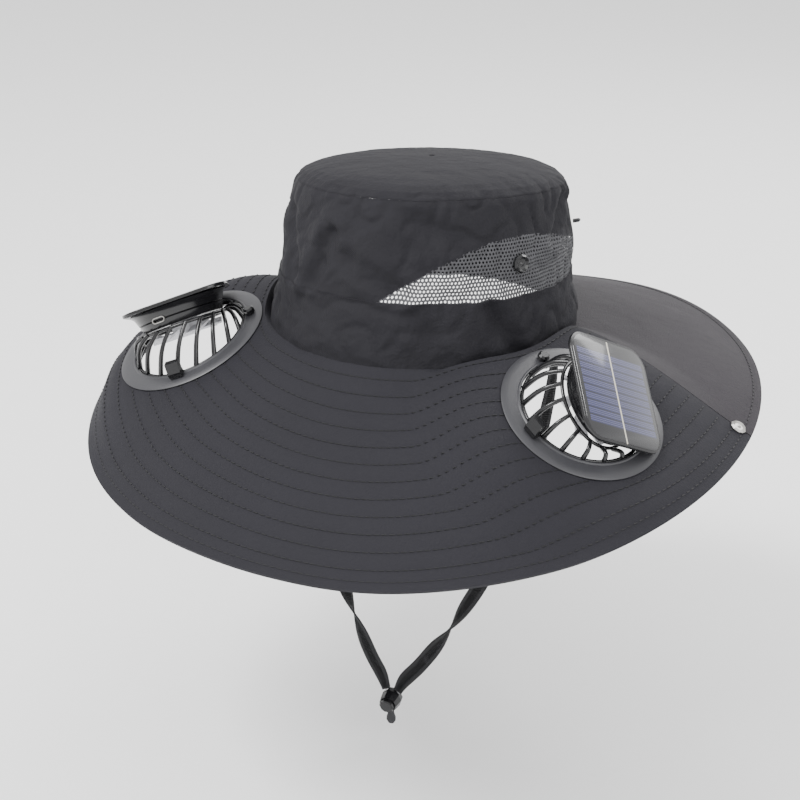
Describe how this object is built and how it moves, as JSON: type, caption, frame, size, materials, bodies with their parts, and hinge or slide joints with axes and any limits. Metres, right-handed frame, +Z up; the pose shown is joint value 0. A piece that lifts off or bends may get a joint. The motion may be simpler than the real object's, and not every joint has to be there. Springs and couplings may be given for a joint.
{
  "type": "solar fan hat",
  "caption": "Wide-brimmed fabric sun hat with net windows, a neck flap, a chin strap with a cord lock, and small solar-powered cooling fans let into its brim.",
  "frame": {"origin": "centre of the head opening, level with the foot of the crown", "axes": "+Z up out of the crown's top; -Y to the hat's front, halfway between the fans; +X to the hat's left side as worn"},
  "size_m": [0.4184, 0.4181, 0.3731],
  "materials": {
    "cloth": "charcoal twill, faded",
    "flap_cloth": "thin charcoal cloth, a little lighter",
    "net": "black knitted net",
    "webbing": "black woven tape",
    "matt_plastic": "dark grey, fine matt",
    "gloss_plastic": "black, polished",
    "rotor_plastic": "light grey, satin",
    "silicon": "navy blue solar cells under a clear face",
    "steel": "bright nickelled"
  },
  "bodies": {
    "hat": {"brim_front": "cloth", "neck_flap": "flap_cloth", "brim_snap_left": "steel", "brim_snap_right": "steel", "crown_band": "cloth", "crown_side": "cloth", "crown_top": "cloth", "crown_snap_left": "gloss_plastic", "crown_snap_right": "gloss_plastic", "net_window_left": "net", "net_window_right": "net", "side_tab": "webbing", "fan_flange_left": "matt_plastic", "fan_collar_left": "matt_plastic", "fan_cage_left": "gloss_plastic", "fan_pod_left": "gloss_plastic", "panel_tray_left": "gloss_plastic", "solar_cell_left": "silicon", "charge_port_left": "steel", "cage_clip_left": "gloss_plastic", "pivot_boss_left": "gloss_plastic", "fan_flange_right": "matt_plastic", "fan_collar_right": "matt_plastic", "fan_cage_right": "gloss_plastic", "fan_pod_right": "gloss_plastic", "panel_tray_right": "gloss_plastic", "solar_cell_right": "silicon", "charge_port_right": "steel", "cage_clip_right": "gloss_plastic", "pivot_boss_right": "gloss_plastic", "strap_left": "webbing", "strap_right": "webbing", "cord_lock": "gloss_plastic", "strap_knot": "webbing"},
    "rotor_left": {"fan_rotor_left": "rotor_plastic"},
    "rotor_right": {"fan_rotor_right": "rotor_plastic"},
    "lock_button": {"lock_button": "gloss_plastic"}
  },
  "joints": [
    {"name": "rotor_left_spin", "type": "hinge", "parent": "hat", "child": "rotor_left", "pos_m": [-0.13313, -0.06553, -0.00567], "axis": [-0.4391, 0.1296, 0.889], "continuous": true},
    {"name": "rotor_right_spin", "type": "hinge", "parent": "hat", "child": "rotor_right", "pos_m": [0.1368, -0.0673, -0.01079], "axis": [0.7999, -0.1069, 0.5905], "continuous": true},
    {"name": "lock_press", "type": "slide", "parent": "hat", "child": "lock_button", "axis": [0, 0.9701, 0.2425], "range_m": [0, 0.0026], "stiffness_N_per_m": 300}
  ]
}
